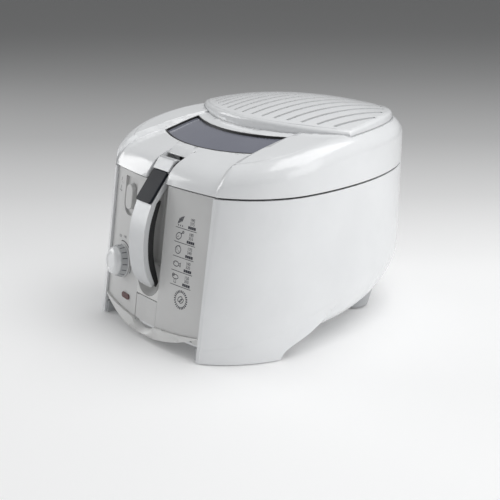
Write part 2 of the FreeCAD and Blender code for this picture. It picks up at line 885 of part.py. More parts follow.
lever = lever.cut(key_block(key_start - 0.3, key_end + travel + 0.3, key_half + 0.3, seat_out - 3.3, 5))
node("handle_lever", lever)
node("grip_underside", between(grip_middle, grip_back, handle_half - 1.5))
slider = key_block(0, slider_length, dim("slider_half"), -slider_thick, 0)
corners = [edge for edge in slider.Edges if edge.Length < 1.1 * slider_thick]
slider = slider.makeFillet(dim("slider_round"), corners)
slider = slider.fuse(key_block(key_start, key_end, key_half, seat_out - 3, -slider_thick))
node("handle_slider", slider)

# Knob with its band.

knob_gap = 0.6
band_z = dim("knob_band_z")
band_top = band_z + dim("knob_band_height")
cap_radius = dim("knob_cap_radius")
skirt_radius = dim("knob_skirt_radius")
knob_height = dim("knob_height")
shaft = dim("shaft_radius")
dish = dim("knob_dish_radius")
knob = revolved(
    [
        (0, -22),
        (shaft, -22),
        (shaft, knob_gap),
        (skirt_radius, knob_gap),
        (skirt_radius - 0.2, band_z),
        (cap_radius - 1.5, band_z),
        (cap_radius - 1.5, band_top),
        (cap_radius, band_top),
        (cap_radius - 0.6, knob_height - 3.8),
        (cap_radius - 2.2, knob_height - 1.6),
        (cap_radius - 4.6, knob_height - 0.4),
        (dish + 0.8, knob_height),
        (dish, knob_height - 0.6),
        (0, knob_height - 0.6),
    ],
    centre,
    360,
)
band = revolved(
    [
        (cap_radius - 1.5, band_z),
        (skirt_radius - 0.5, band_z),
        (cap_radius + 0.5, band_top),
        (cap_radius - 1.5, band_top),
    ],
    centre,
    360,
)
knob_turn = Placement(knob_seat, Rotation(Vector(0, 0, 1), knob_axis))
for label, shape in (("knob", knob), ("knob_band", band)):
    piece = doc.addObject("Part::Feature", label)
    piece.Label = label
    piece.Shape = shape
    piece.Placement = knob_turn
    nodes.append(piece)

# Lid: crown over the arched front, rounded shoulders, sunk band, window and filter opening.

CROWN = [
    (-113.7, 199.8),
    (-93.7, 204.5),
    (-63.7, 210.5),
    (-33.7, 214.6),
    (0, 216.5),
    (60, 217),
    (110, 215.5),
    (150, 212.5),
    (220, 207),
]
SHOULDER = [(-190, 176), (-150, 190)] + CROWN
BROW = [(-160, 150), (-147.5, 168), (-143.2, 178), (-135.5, 188.5), (-126, 195.3)] + CROWN

shoulder_curve = Part.BSplineCurve()
shoulder_curve.interpolate([Vector(0, y, z) for y, z in SHOULDER])
shoulder_line = shoulder_curve.discretize(400)


def shoulder_z(point):
    """Height of the crown above a plan point; it follows circles about the arch's axis."""
    y = arch_y - math.hypot(point.x, arch_y - point.y)
    for low, high in zip(shoulder_line, shoulder_line[1:]):
        if y <= high.y:
            break
    return low.z + (high.z - low.z) * (y - low.y) / (high.y - low.y)


def lid_block(inset, drop, radius, bottom):
    def level(angle):
        turn = math.radians(angle)

        def at(s):
            bend = radius - 6 * max(0, -s)
            step = inset + bend * (1 - math.cos(turn))
            return step, shoulder_z(side_point(s, rim_z, step)) - drop - bend * (1 - math.sin(turn))

        return at

    shoulder = [ring(level(angle)) for angle in ROUND_STEPS]
    foot = [ring(lambda s: (inset, bottom)), shoulder[0]]
    chimney = [shoulder[-1], ring(lambda s: (inset + radius + 1, 260))]
    return skin([foot, shoulder, chimney])


def crown(step, drop):
    """All below the crown, moved back by step at the brow and lowered by drop on top."""
    points = []
    for y, z in BROW:
        share = min(1, max(0, (z - 172) / 24))
        climb = dim("band_rise") * min(1, max(0, (y + 94) / 60)) if step else 0
        points.append(Vector(0, y + step, z - drop * share + climb))
    curve = Part.BSplineCurve()
    curve.interpolate(points)
    first, last = points[0], points[-1]
    edges = [
        curve.toShape(),
        Part.makeLine(last, Vector(0, last.y, 120)),
        Part.makeLine(Vector(0, last.y, 120), Vector(0, first.y, 120)),
        Part.makeLine(Vector(0, first.y, 120), first),
    ]
    face = Part.Face(Part.Wire(edges))
    face.rotate(Vector(0, arch_y, 0), Vector(0, 0, 1), -50)
    return face.revolve(Vector(0, arch_y, 0), Vector(0, 0, 1), 100)


def plan_prism(points, z0, z1):
    loop = [Vector(x, y, z0) for x, y in points]
    face = Part.Face(Part.makePolygon(loop + loop[:1]))
    return face.extrude(Vector(0, 0, z1 - z0))


def window_prism(inset):
    half = dim("window_half") - inset
    front = dim("window_front_y") + inset
    rear = dim("window_rear_y") - inset
    bow = dim("window_bow")
    corners = [Vector(-half, front, 150), Vector(half, front, 150), Vector(half, rear, 150), Vector(-half, rear, 150)]
    edges = [
        Part.Arc(corners[0], Vector(0, front - bow, 150), corners[1]).toShape(),
        Part.makeLine(corners[1], corners[2]),
        Part.Arc(corners[2], Vector(0, rear - bow, 150), corners[3]).toShape(),
        Part.makeLine(corners[3], corners[0]),
    ]
    return wire_prism(edges, Vector(0, 0, 110))


def cover_point(share, inset):
    """Right edge of the cover: share runs from its front corner to the rear middle."""
    side = dim("cover_inset") + inset
    depth = (dim("cover_corner_y") + inset - side_y) / (rear_y - side - side_y)
    start = math.asin(depth ** (dim("rear_power") / 2)) / (math.pi / 2)
    return side_point(start + (1 - start) * share, 0, side)


def cover_ring(level):
    """Outline of the cover with varying inset and height."""
    points = []
    shares = [i / 8 for i in range(9)]
    for share in shares:
        inset, z = level(share)
        point = cover_point(share, inset)
        points.append(Vector(point.x, point.y, z))
    inset, z = level(None)
    return mirrored_wire(points, Vector(0, dim("cover_front_y") + inset, z))


def cover_prism(inset, z0, z1):
    low = cover_ring(lambda share: (inset, z0))
    high = cover_ring(lambda share: (inset, z1))
    return skin([[low, high]])


band_drop = dim("band_drop")
inner_drop = dim("inner_drop")
band_step = dim("band_step")
band_front = dim("band_half_front")
band_rear = dim("band_half_rear")
notch_half = dim("notch_half")
notch_rear = dim("notch_rear_y")
seat_z = dim("cover_seat_z")
ledge = dim("cover_ledge")
liner_z = dim("liner_z")
liner_top = liner_z + dim("liner_thick")

blank = lid_block(0, 0, dim("shoulder_radius"), lid_z).common(crown(0, 0))
hollow = lid_block(wall, inner_drop, dim("shoulder_radius") - 8, lid_z - 1)
hollow = hollow.common(crown(band_step + wall, inner_drop))
strip = plan_prism(
    [
        (-band_front, -200),
        (band_front, -200),
        (band_rear, -20),
        (band_rear, 60),
        (-band_rear, 60),
        (-band_rear, -20),
    ],
    150,
    260,
)
sunk = crown(band_step, band_drop)
lid = blank.cut(strip.cut(sunk))
solid_lid = lid
lid = lid.cut(hollow)
notch_wall = box(-notch_half - wall, notch_half + wall, -200, notch_rear + wall, lid_z, 240)
lid = lid.fuse(solid_lid.common(notch_wall))
lid = lid.cut(box(-notch_half, notch_half, -200, notch_rear, 100, 260))
lid = lid.cut(box(-12.5, 12.5, -200, notch_rear + wall + 1, 100, liner_z))
lid = lid.cut(window_prism(0)).cut(cover_prism(0, seat_z, 260)).cut(cover_prism(ledge, 150, 260))

hinge_y = dim("hinge_y")
hinge_z = dim("hinge_z")
barrel = dim("barrel_radius")
lug_half = dim("lug_half")
bracket_half = dim("bracket_half")
hinge_bore = dim("hinge_pin_radius") + dim("shaft_clear")
lid = lid.cut(box(-bracket_half - 1, bracket_half + 1, rear_y - 8, rear_y + 10, lid_z - 5, lid_z + 8))
lug = [
    (rear_y - 1.2, lid_z + 8),
    (rear_y - 1.2, lid_z + 22),
    (rear_y + 3, lid_z + 20),
    (hinge_y + barrel - 0.4, hinge_z + 2),
    (hinge_y - 2, hinge_z + barrel - 0.6),
]
lug_solid = prism_x(lug, -lug_half, lug_half).fuse(
    rod(Vector(-lug_half, hinge_y, hinge_z), Vector(lug_half, hinge_y, hinge_z), barrel)
)
lug_solid = lug_solid.cut(rod(Vector(-30, hinge_y, hinge_z), Vector(30, hinge_y, hinge_z), hinge_bore))
lid = lid.fuse(lug_solid)
node("lid_shell", lid)

liner = lid_block(wall, inner_drop, dim("shoulder_radius") - 8, lid_z - 1)
liner = liner.common(crown(band_step + wall, inner_drop))
liner = liner.common(box(-200, 200, notch_rear + wall + 0.5, 200, liner_z, liner_top))
liner = liner.cut(window_prism(-1)).cut(cover_prism(ledge + 10, 150, 260))
gasket_in = 101.5
gasket_out = 105.5
collar = revolved(
    [(gasket_in + 0.5, rim_z), (gasket_out - 0.5, rim_z), (gasket_out - 0.5, liner_z), (gasket_in + 0.5, liner_z)],
    centre,
    360,
)
front_gate = box(-22, 22, -140, -60, 100, 300)
liner = liner.fuse(collar.cut(front_gate).common(box(-200, 200, -97.5, 200, 100, 300)))
node("lid_liner", liner)
seal = revolved(
    [(gasket_in, flange_top + 0.3), (gasket_out, flange_top + 0.3), (gasket_out, rim_z), (gasket_in, rim_z)],
    centre,
    360,
)
node("lid_seal", seal.cut(front_gate).common(box(-200, 200, -97.5, 200, 100, 300)))

lip = dim("window_lip")
glass_sink = dim("glass_sink")
glass_low = band_drop + glass_sink + dim("glass_thick")
frame = window_prism(0).common(sunk).cut(crown(band_step, glass_low + 2.5))
frame = frame.cut(window_prism(lip).cut(crown(band_step, glass_low)))
frame = frame.cut(window_prism(lip + 3))
node("window_frame", frame)
glass = window_prism(lip).common(crown(band_step, band_drop + glass_sink)).cut(crown(band_step, glass_low))
node("window_glass", glass)

tray = cover_prism(ledge, liner_top, seat_z - 0.5).cut(cover_prism(ledge + 2, liner_top + 2, seat_z))
vents = []
for index in range(-4, 5):
    vents.append(box(index * 18 - 4, index * 18 + 4, 0, 105, liner_z - 5, liner_top + 3))
node("filter_tray", tray.cut(Part.makeCompound(vents)))
node("carbon_filter", cover_prism(ledge + 3, liner_top + 2, liner_top + 8))
node("foam_filter", cover_prism(ledge + 3, liner_top + 8, liner_top + 13))

hook_front = panel_back + 2.6
hook_back = hook_front + 3
hook = front_slab(1, hook_back, opening_half, lid_z + 2, lid_z + 9)
hook = hook.fuse(front_slab(hook_front, hook_back, opening_half, flange_top, lid_z + 9))
hook = hook.common(box(button_x - 6, button_x + 6, -200, 0, 0, 300)).cut(lid)
hook = sorted(hook.Solids, key=lambda solid: solid.Volume)[-1]
node("latch_hook", hook)

screws = []
for index, (sx, sy) in enumerate([(-95, -70), (95, -70), (-84, 95), (84, 95)]):
    screw = bound(
        "Part::Cylinder",
        "lid_screw_%d" % index,
        {"Radius": "3", "Height": "1.8"},
        (str(sx), str(sy), "Dims.liner_z - 1.8"),
    )
    screws.append(screw)
keep(group("Part::Compound", "lid_screws", screws))

# Filter cover: a pillow with slots over the filters.

cover_clear = dim("cover_clear")
cover_middle = dim("cover_middle_y")
dome = dim("cover_dome")
cover_top = dim("cover_top_z")
cover_wall = dim("cover_wall")
edge_step = 0.2


barrel_axis_z = cover_top - dim("cover_barrel")


def dome_z(x, y):
    """Height of the cover: an arc along Y, turned about an axis along Y far below."""
    reach = cover_top - dome + math.sqrt(dome ** 2 - (y - cover_middle) ** 2) - barrel_axis_z
    return barrel_axis_z + math.sqrt(reach ** 2 - x ** 2)


def below_dome(drop):
    ends = [Vector(0, y, dome_z(0, y) - drop) for y in (-60, cover_middle, 170)]
    edges = [
        Part.Arc(*ends).toShape(),
        Part.makeLine(ends[2], Vector(0, 170, 150)),
        Part.makeLine(Vector(0, 170, 150), Vector(0, -60, 150)),
        Part.makeLine(Vector(0, -60, 150), ends[0]),
    ]
    face = Part.Face(Part.Wire(edges))
    face.rotate(Vector(0, 0, barrel_axis_z), Vector(0, 1, 0), -13)
    return face.revolve(Vector(0, 0, barrel_axis_z), Vector(0, 1, 0), 26)


def cover_block(inset, drop, radius, bottom):
    def level(angle):
        turn = math.radians(angle)

        def at(share):
            step = inset + radius * (1 - math.cos(turn))
            if share is None:
                point = Vector(0, dim("cover_front_y") + step, 0)
            else:
                point = cover_point(share, step)
            return step, dome_z(point.x, point.y) - drop - edge_step - radius * (1 - math.sin(turn))

        return at

    edge = [cover_ring(level(angle)) for angle in ROUND_STEPS]
    foot = [cover_ring(lambda share: (inset, bottom)), edge[0]]
    chimney = [edge[-1], cover_ring(lambda share: (inset + radius + 1, 280))]
    return skin([foot, edge, chimney]).common(below_dome(drop))


cover = cover_block(cover_clear, 0, dim("cover_round"), seat_z)
cover = cover.cut(cover_block(cover_clear + cover_wall, cover_wall, dim("cover_round") - 2, seat_z - 2))
slot_width = dim("slot_width")
slot_pitch = dim("slot_pitch")
slot_count = int(dim("slot_count"))
grille = []
for index in range(slot_count):
    x = (index - (slot_count - 1) / 2) * slot_pitch
    front = dim("cover_front_y") + 44.5 * (x / 124) ** 2 + 10
    rear = side_y + (rear_y - 26 - side_y) * math.sqrt(1 - (x / 128) ** 2)
    slot = box(x - slot_width / 2, x + slot_width / 2, front, max(rear, front + 20), seat_z + 4, 260)
    grille.append(slot)
node("filter_cover", cover.cut(Part.makeCompound(grille)))

# Rear hinge on the housing.

leaf_block = box(-bracket_half, bracket_half, rear_y - 12, hinge_y - 1.5, rim_z - 40, rim_z - 4).cut(outside)
arms = []
for side in (-1, 1):
    x0, x1 = sorted((side * (lug_half + 0.4), side * bracket_half))
    arm = box(x0, x1, rear_y + 0.2, hinge_y + 2, rim_z - 20, hinge_z)
    arm = arm.fuse(rod(Vector(x0, hinge_y, hinge_z), Vector(x1, hinge_y, hinge_z), barrel))
    arms.append(arm)
hinge_bracket = leaf_block.fuse(arms[0]).fuse(arms[1])
hinge_rod = rod(
    Vector(-bracket_half, hinge_y, hinge_z), Vector(bracket_half, hinge_y, hinge_z), dim("hinge_pin_radius")
)
node("hinge_bracket", hinge_bracket.cut(outside).cut(hinge_rod))
pin = bound(
    "Part::Cylinder",
    "hinge_pin",
    {"Radius": "Dims.hinge_pin_radius", "Height": "2 * Dims.bracket_half"},
    ("-Dims.bracket_half", "Dims.hinge_y", "Dims.hinge_z"),
    ALONG_X,
)
keep(pin)

doc.recompute()

os.makedirs("parts", exist_ok=True)
for piece in nodes:
    faults = [word for word in ("Invalid", "Error") if word in piece.State]
    if faults or piece.Shape.isNull() or not piece.Shape.isValid():
        raise RuntimeError("bad piece: " + piece.Label)
    if not piece.Shape.Solids:
        raise RuntimeError("no solid in: " + piece.Label)
    piece.Shape.exportStep("parts/" + piece.Label + ".step")
    extent = piece.Shape.optimalBoundingBox(False, False)
    print(
        "%-16s solids %2d volume %10.1f  x %7.1f %7.1f  y %7.1f %7.1f  z %6.1f %6.1f"
        % (
            piece.Label,
            len(piece.Shape.Solids),
            piece.Shape.Volume,
            extent.XMin,
            extent.XMax,
            extent.YMin,
            extent.YMax,
            extent.ZMin,
            extent.ZMax,
        )
    )
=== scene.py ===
# %% [markdown]
# # A compact deep fryer
# The imported CAD model is the fixed frame, and it is loaded first. The record in the frame
# also says which body each node moves with and which material slot it belongs to.

# %% Load the frame
import json
import math

import bpy
from mathutils import Matrix, Vector


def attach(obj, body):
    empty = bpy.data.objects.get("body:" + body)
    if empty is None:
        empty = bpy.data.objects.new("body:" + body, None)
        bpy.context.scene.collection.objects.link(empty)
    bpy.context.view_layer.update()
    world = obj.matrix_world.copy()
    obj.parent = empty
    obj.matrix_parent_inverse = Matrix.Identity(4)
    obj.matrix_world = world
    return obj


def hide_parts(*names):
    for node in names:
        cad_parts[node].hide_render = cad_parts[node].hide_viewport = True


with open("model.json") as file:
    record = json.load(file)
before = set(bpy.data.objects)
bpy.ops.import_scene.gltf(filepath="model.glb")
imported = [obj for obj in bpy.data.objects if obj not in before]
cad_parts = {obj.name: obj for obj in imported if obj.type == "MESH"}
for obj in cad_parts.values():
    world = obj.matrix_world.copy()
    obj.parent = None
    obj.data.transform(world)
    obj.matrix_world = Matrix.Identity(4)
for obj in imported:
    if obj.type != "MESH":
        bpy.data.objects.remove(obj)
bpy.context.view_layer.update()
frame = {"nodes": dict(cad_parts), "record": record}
nodes = frame["nodes"]
behaviour = frame["record"]["behaviour"]
BODY_OF = {node: body for body, members in behaviour["bodies"].items() for node in members}
MM = 0.001
print("nodes in the frame:", len(nodes))

# %% [markdown]
# ## The camera
# The fryer is seen from the right of its front, a little above the lid. A short lens close by
# would spread the near corner. A long lens from a good metre away keeps the sides nearly
# parallel, as they are in the picture, so that way is used.

# %% Camera
LENS_MM = 72.0
SENSOR_MM = 36.0
CAMERA_AT = Vector((0.8382, -0.6861, 0.4184))
LOOK_AT = Vector((0.00355, -0.0255, 0.06988))


def turn_towards(thing, place, target):
    thing.rotation_mode = "QUATERNION"
    thing.rotation_quaternion = (target - place).to_track_quat("-Z", "Y")


bpy.ops.object.select_all(action="DESELECT")
bpy.ops.object.camera_add(location=CAMERA_AT)
camera = bpy.context.object
camera.data.lens = LENS_MM
camera.data.sensor_width = SENSOR_MM
camera.data.dof.use_dof = False
turn_towards(camera, CAMERA_AT, LOOK_AT)
bpy.context.scene.camera = camera
print("camera stands", round((LOOK_AT - CAMERA_AT).length, 3), "m from its target")

# %% [markdown]
# ## Finishes
# Moulded plastic is never one flat colour: the moulding leaves faint clouds in the tint, and
# some places are a little shinier than others. A picture of plastic could be wrapped round each
# piece. A noise pattern on the piece's own coordinates needs no picture and has no seams, so
# every finish here is made of such patterns.

# %% Tint and shine
CLOUD_EDGES = (0.35, 0.65)
SHINE_EDGES = (0.3, 0.7)


def new_material(name):
    material = bpy.data.materials.new(name)
    material.use_nodes = True
    shader = material.node_tree.nodes["Principled BSDF"]
    return material, material.node_tree, shader


def object_noise(tree, scale, detail=4.0):
    place = tree.nodes.new("ShaderNodeTexCoord")
    noise = tree.nodes.new("ShaderNodeTexNoise")
    noise.inputs["Scale"].default_value = scale
    noise.inputs["Detail"].default_value = detail
    tree.links.new(place.outputs["Object"], noise.inputs["Vector"])
    return noise


def clouded_colour(tree, shader, noise, dark, light):
    ramp = tree.nodes.new("ShaderNodeValToRGB")
    for element, position, colour in zip(ramp.color_ramp.elements, CLOUD_EDGES, (dark, light)):
        element.position = position
        element.color = (*colour, 1.0)
    tree.links.new(noise.outputs["Fac"], ramp.inputs["Fac"])
    tree.links.new(ramp.outputs["Color"], shader.inputs["Base Color"])


def varied_roughness(tree, shader, noise, low, high):
    span = tree.nodes.new("ShaderNodeMapRange")
    span.inputs["From Min"].default_value = SHINE_EDGES[0]
    span.inputs["From Max"].default_value = SHINE_EDGES[1]
    span.inputs["To Min"].default_value = low
    span.inputs["To Max"].default_value = high
    tree.links.new(noise.outputs["Fac"], span.inputs["Value"])
    tree.links.new(span.outputs["Result"], shader.inputs["Roughness"])


print("clouds run between", CLOUD_EDGES, "and shine between", SHINE_EDGES)

# %% [markdown]
# The skin of a moulding has a grain that is too fine to be modelled in faces. A bump in the
# shader bends the light in the same way and costs nothing. With it, one helper makes every
# plastic of the fryer: glossy for the shell, satin for the panels, dull for rubber and felt.

# %% Plastic helper
PLASTIC_CLOUD_SCALE = 14.0
PLASTIC_SHINE_SCALE = 40.0
PLASTIC_GRAIN_DEPTH = 0.2 * MM
COAT_ROUGHNESS = 0.08


def fine_grain(tree, shader, scale, strength, depth):
    noise = object_noise(tree, scale, detail=2.0)
    bump = tree.nodes.new("ShaderNodeBump")
    bump.inputs["Strength"].default_value = strength
    bump.inputs["Distance"].default_value = depth
    tree.links.new(noise.outputs["Fac"], bump.inputs["Height"])
    tree.links.new(bump.outputs["Normal"], shader.inputs["Normal"])


def plastic(name, dark, light, rough, grain=0.15, grain_scale=1200.0, coat=0.0, sheen=0.5):
    material, tree, shader = new_material(name)
    clouded_colour(tree, shader, object_noise(tree, PLASTIC_CLOUD_SCALE), dark, light)
    varied_roughness(tree, shader, object_noise(tree, PLASTIC_SHINE_SCALE), *rough)
    fine_grain(tree, shader, grain_scale, grain, PLASTIC_GRAIN_DEPTH)
    shader.inputs["Specular IOR Level"].default_value = sheen
    shader.inputs["Coat Weight"].default_value = coat
    shader.inputs["Coat Roughness"].default_value = COAT_ROUGHNESS
    return material


print("plastic grain is at most", PLASTIC_GRAIN_DEPTH / MM, "mm deep")

# %% [markdown]
# The outside has five plastics. The shell and lid are glossy white with a thin clear coat, the
# panels and the rim are satin greys, the catch on the handle is charcoal and the lining black.

# %% Plastics of the outside
white_gloss = plastic(
    "white_gloss",
    dark=(0.80, 0.81, 0.82),
    light=(0.84, 0.85, 0.86),
    rough=(0.16, 0.24),
    grain=0.04,
    grain_scale=500.0,
    coat=0.4,
)
panel_satin = plastic(
    "panel_satin",
    dark=(0.61, 0.61, 0.605),
    light=(0.65, 0.65, 0.645),
    rough=(0.38, 0.46),
    grain=0.12,
)
rim_satin = plastic(
    "rim_satin",
    dark=(0.70, 0.70, 0.69),
    light=(0.74, 0.74, 0.73),
    rough=(0.30, 0.38),
    grain=0.08,
)
charcoal_satin = plastic(
    "charcoal_satin",
    dark=(0.010, 0.012, 0.017),
    light=(0.014, 0.017, 0.023),
    rough=(0.30, 0.36),
    grain=0.1,
    grain_scale=1500.0,
    sheen=0.12,
)
black_plastic = plastic(
    "black_plastic",
    dark=(0.008, 0.008, 0.009),
    light=(0.014, 0.014, 0.015),
    rough=(0.35, 0.45),
    grain=0.2,
)
print("finishes so far:", len(bpy.data.materials))

# %% [markdown]
# The inside and the underside are plainer: greys for the base and the feet, a pale plastic for
# the lining, rubber for the hose and the pads, felt for the filters and the pan's dark coating.

# %% Plastics of the inside
grey_plastic = plastic(
    "grey_plastic",
    dark=(0.28, 0.28, 0.28),
    light=(0.33, 0.33, 0.33),
    rough=(0.45, 0.55),
    grain=0.25,
)
band_grey = plastic(
    "band_grey",
    dark=(0.46, 0.47, 0.48),
    light=(0.50, 0.51, 0.52),
    rough=(0.4, 0.5),
)
pale_plastic = plastic(
    "pale_plastic",
    dark=(0.70, 0.70, 0.69),
    light=(0.74, 0.74, 0.73),
    rough=(0.4, 0.5),
)
black_rubber = plastic(
    "black_rubber",
    dark=(0.010, 0.010, 0.010),
    light=(0.020, 0.020, 0.020),
    rough=(0.7, 0.85),
    grain=0.4,
    grain_scale=1800.0,
)
filter_felt = plastic(
    "filter_felt",
    dark=(0.02, 0.02, 0.022),
    light=(0.05, 0.05, 0.052),
    rough=(0.85, 0.95),
    grain=0.9,
    grain_scale=2500.0,
)
bowl_coating = plastic(
    "bowl_coating",
    dark=(0.02, 0.02, 0.022),
    light=(0.035, 0.035, 0.037),
    rough=(0.3, 0.42),
    grain=0.35,
    grain_scale=2200.0,
)
print("finishes so far:", len(bpy.data.materials))

# %% [markdown]
# Pins, screws and the basket are steel: the colour hardly changes, but the shine varies in fine
# spots. The handle's skin is a silver lacquer. It could be a grey plastic, but real lacquer holds
# metal flakes, so it is made as a half metallic finish that is duller than steel.

# %% Metal finishes
METAL_CLOUD_SCALE = 30.0
METAL_SHINE_SCALE = 220.0
METAL_GRAIN_SCALE = 1400.0
METAL_GRAIN_DEPTH = 0.1 * MM


def drawn_metal(name, dark, light, rough, metallic, grain):
    material, tree, shader = new_material(name)
    clouded_colour(tree, shader, object_noise(tree, METAL_CLOUD_SCALE), dark, light)
    varied_roughness(tree, shader, object_noise(tree, METAL_SHINE_SCALE, detail=6.0), *rough)
    fine_grain(tree, shader, METAL_GRAIN_SCALE, grain, METAL_GRAIN_DEPTH)
    shader.inputs["Metallic"].default_value = metallic
    return material


steel = drawn_metal(
    "steel",
    dark=(0.55, 0.55, 0.56),
    light=(0.62, 0.62, 0.63),
    rough=(0.22, 0.34),
    metallic=1.0,
    grain=0.06,
)
silver_lacquer = drawn_metal(
    "silver_lacquer",
    dark=(0.62, 0.63, 0.64),
    light=(0.66, 0.67, 0.68),
    rough=(0.42, 0.50),
    metallic=0.45,
    grain=0.01,
)
print("finishes so far:", len(bpy.data.materials))

# %% [markdown]
# The window in the lid is tinted, so that the inside is only guessed at. The pilot lens is a deep
# red plastic that light goes through; its lamp is off. Both let a part of the light pass, and the
# rest shows their own colour, which is quicker to render than a fully clear glass.

# %% Window glass and pilot lens
TINT_CLOUD_SCALE = 10.0
TINT_SHINE_SCALE = 60.0
TINT_SHINE_SPAN = 0.04
ACRYLIC_IOR = 1.49


def tinted(name, dark, light, rough, clearness):
    material, tree, shader = new_material(name)
    clouded_colour(tree, shader, object_noise(tree, TINT_CLOUD_SCALE), dark, light)
    shine = object_noise(tree, TINT_SHINE_SCALE)
    varied_roughness(tree, shader, shine, rough, rough + TINT_SHINE_SPAN)
    shader.inputs["Transmission Weight"].default_value = clearness
    shader.inputs["IOR"].default_value = ACRYLIC_IOR
    return material


window_tint = tinted(
    "window_tint",
    dark=(0.26, 0.27, 0.33),
    light=(0.30, 0.31, 0.37),
    rough=0.05,
    clearness=0.35,
)
red_lens = tinted(
    "red_lens",
    dark=(0.10, 0.006, 0.008),
    light=(0.14, 0.010, 0.012),
    rough=0.12,
    clearness=0.3,
)
print("finishes so far:", len(bpy.data.materials))

# %% [markdown]
# The ink of the printed marks is a dark slate paint, thin and a little uneven. It is made with
# the plastic helper, because dried ink is a film of plastic too.

# %% Ink
ink = plastic(
    "ink",
    dark=(0.030, 0.032, 0.045),
    light=(0.050, 0.052, 0.065),
    rough=(0.5, 0.6),
    grain=0.1,
    grain_scale=2000.0,
)
print("finishes in all:", len(bpy.data.materials))

# %% [markdown]
# Every CAD piece now gets its finish. A list by name is used, so that a piece without a finish
# stops the script here and isn't found later as a grey spot in the picture.

# %% Dress the CAD pieces
FINISH = {
    "outer_shell": white_gloss,
    "lid_shell": white_gloss,
    "filter_cover": white_gloss,
    "knob": white_gloss,
    "control_panel": panel_satin,
    "guide_panel": panel_satin,
    "drain_door": panel_satin,
    "lid_button": panel_satin,
    "button_bezel": panel_satin,
    "front_rim": rim_satin,
    "handle_lever": silver_lacquer,
    "handle_slider": charcoal_satin,
    "handle_channel": pale_plastic,
    "grip_underside": black_plastic,
    # The window frame is a real part, and its black is painted shade for the gap where the glass sits
    # lower at its rear and left edges.
    "window_frame": black_plastic,
    "button_stem": black_plastic,
    "handle_bracket": black_plastic,
    "foot_blocks": band_grey,
    "base_plate": grey_plastic,
    "inlet_gland": grey_plastic,
    "knob_band": band_grey,
    "hinge_bracket": grey_plastic,
    "foot_pads": black_rubber,
    "lid_seal": grey_plastic,
    "drain_hose": black_rubber,
    "hose_plug": black_rubber,
    "handle_pin": steel,
    "hinge_pin": steel,
    "door_pins": steel,
    "base_screws": steel,
    "lid_screws": steel,
    "basket": steel,
    "basket_hanger": steel,
    "latch_hook": steel,
    "heating_element": steel,
    "drain_spout": steel,
    "bowl": bowl_coating,
    "deck_ring": pale_plastic,
    "filter_tray": pale_plastic,
    "lid_liner": pale_plastic,
    "thermostat": pale_plastic,
    "window_glass": window_tint,
    "pilot_lens": red_lens,
    "pilot_lamp": red_lens,
    "carbon_filter": filter_felt,
    "foam_filter": filter_felt,
}


def dress(piece, finish):
    piece.data.materials.clear()
    piece.data.materials.append(finish)


for name, node in nodes.items():
    dress(node, FINISH[name])
print("dressed:", len(nodes))

# %% [markdown]
# ## Smooth skins
# A CAD mesh is a heap of loose triangles, and light breaks at every one of them. A polished
# moulding needs shared corners. So a copy of each large piece is merged and stands in for the
# CAD piece, and its normals are weighted by face size, so that thin triangles don't show as
# streaks. Remeshing would do as well, but it would move the edges.

# %% Skins of the mouldings
MERGE_DISTANCE = 0.01 * MM


def merged_copy(name):
    bpy.ops.object.select_all(action="DESELECT")
    piece = bpy.data.objects.new(name + "_skin", nodes[name].data.copy())
    bpy.context.scene.collection.objects.link(piece)
    bpy.context.view_layer.objects.active = piece
    piece.select_set(True)
    bpy.ops.object.mode_set(mode="EDIT")
    bpy.ops.mesh.select_all(action="SELECT")
    bpy.ops.mesh.remove_doubles(threshold=MERGE_DISTANCE)
    bpy.ops.object.mode_set(mode="OBJECT")
    return piece


def smooth_shading(piece, angle):
    bpy.ops.object.shade_smooth_by_angle(angle=math.radians(angle))
    even = piece.modifiers.new("even", "WEIGHTED_NORMAL")
    even.keep_sharp = True
    even.mode = "FACE_AREA_WITH_ANGLE"
    bpy.ops.object.modifier_apply(modifier="even")


def stand_in(piece, name):
    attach(piece, BODY_OF[name])
    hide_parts(name)
    print(piece.name, len(piece.data.polygons), "faces")


SHARP_FROM = {
    "outer_shell": 20.0,
    "lid_shell": 35.0,
    "filter_cover": 20.0,
    "knob": 20.0,
    "knob_band": 20.0,
    "handle_channel": 20.0,
    "control_panel": 20.0,
    "guide_panel": 20.0,
    "front_rim": 20.0,
    "window_glass": 20.0,
    "drain_door": 20.0,
    "button_bezel": 20.0,
}
for name, angle in SHARP_FROM.items():
    skin = merged_copy(name)
    smooth_shading(skin, angle)
    stand_in(skin, name)

# %% [markdown]
# The handle, its catch, its lining and the lid's button are held in the hand, so their edges are
# rounded off. The rounding could be cut in the CAD model; a bevel here is as good for the looks.
# The flat triangles are dissolved first, because a bevel needs clean faces on both sides.

# %% Skins of the pieces that are held
FLAT_BELOW = 1.0
HELD_EDGE_FROM = 40.0
HELD_SHARP_FROM = 35.0
HELD_ROUNDING = {
    "handle_lever": 1.8 * MM,
    "handle_slider": 0.9 * MM,
    "lid_button": 1.0 * MM,
    "grip_underside": 0.8 * MM,
}


def dissolve_flat():
    bpy.ops.object.mode_set(mode="EDIT")
    bpy.ops.mesh.select_all(action="SELECT")
    bpy.ops.mesh.dissolve_limited(angle_limit=math.radians(FLAT_BELOW))
    bpy.ops.object.mode_set(mode="OBJECT")


def soften_edges(piece, width, segments, edge_from=30.0):
    soft = piece.modifiers.new("soft", "BEVEL")
    soft.width = width
    soft.segments = segments
    soft.limit_method = "ANGLE"
    soft.angle_limit = math.radians(edge_from)
    bpy.ops.object.modifier_apply(modifier="soft")


for name, width in HELD_ROUNDING.items():
    skin = merged_copy(name)
    dissolve_flat()
    soften_edges(skin, width, segments=3, edge_from=HELD_EDGE_FROM)
    smooth_shading(skin, HELD_SHARP_FROM)
    stand_in(skin, name)

